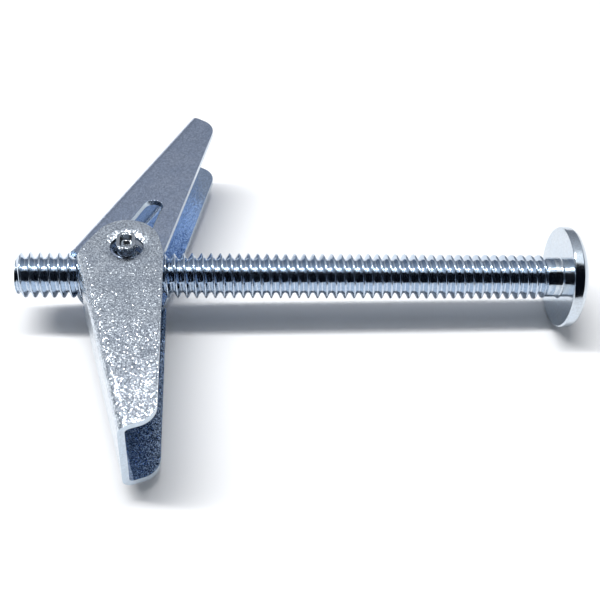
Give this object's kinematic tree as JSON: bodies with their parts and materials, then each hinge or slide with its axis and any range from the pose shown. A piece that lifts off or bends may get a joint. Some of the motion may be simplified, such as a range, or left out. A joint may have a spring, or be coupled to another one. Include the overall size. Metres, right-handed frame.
{
  "type": "spring toggle wall anchor",
  "caption": "Threaded machine screw with a domed head, carrying a trunnion nut and two spring-opened sheet-metal channel wings that fold flat to pass a drilled hole.",
  "frame": {"origin": "centre of the screw's tip face", "axes": "+X along the screw from the tip to the head, +Z along the trunnion that the wings turn on, +Y towards the narrower wing; the wings are sprung open at rest"},
  "size_m": [0.0781, 0.0587, 0.0142],
  "materials": {
    "screw_zinc": "bright zinc plate on rolled threads",
    "nut_zinc": "bright zinc plate",
    "wing_zinc": "satin blue-bright zinc plate on stamped sheet",
    "spring_zinc": "bright drawn spring wire"
  },
  "bodies": {
    "screw": {"machine_screw": "screw_zinc"},
    "nut": {"trunnion_nut": "nut_zinc", "torsion_spring": "spring_zinc"},
    "inner_wing": {"inner_wing": "wing_zinc"},
    "outer_wing": {"outer_wing": "wing_zinc"}
  },
  "joints": [
    {"name": "nut_travel", "type": "slide", "parent": "screw", "child": "nut", "axis": [1, 0, 0], "range_m": [-0.01, 0.029]},
    {"name": "inner_wing_fold", "type": "hinge", "parent": "nut", "child": "inner_wing", "pos_m": [0.01475, 0, 0], "axis": [0, 0, 1], "range_deg": [-61.7, 0], "stiffness_Nm_per_rad": 0.004, "springref_deg": 45.84, "deforming": ["torsion_spring"]},
    {"name": "outer_wing_fold", "type": "hinge", "parent": "nut", "child": "outer_wing", "pos_m": [0.01475, 0, 0], "axis": [0, 0, 1], "range_deg": [0, 75.1], "stiffness_Nm_per_rad": 0.004, "springref_deg": -45.84, "deforming": ["torsion_spring"]}
  ]
}
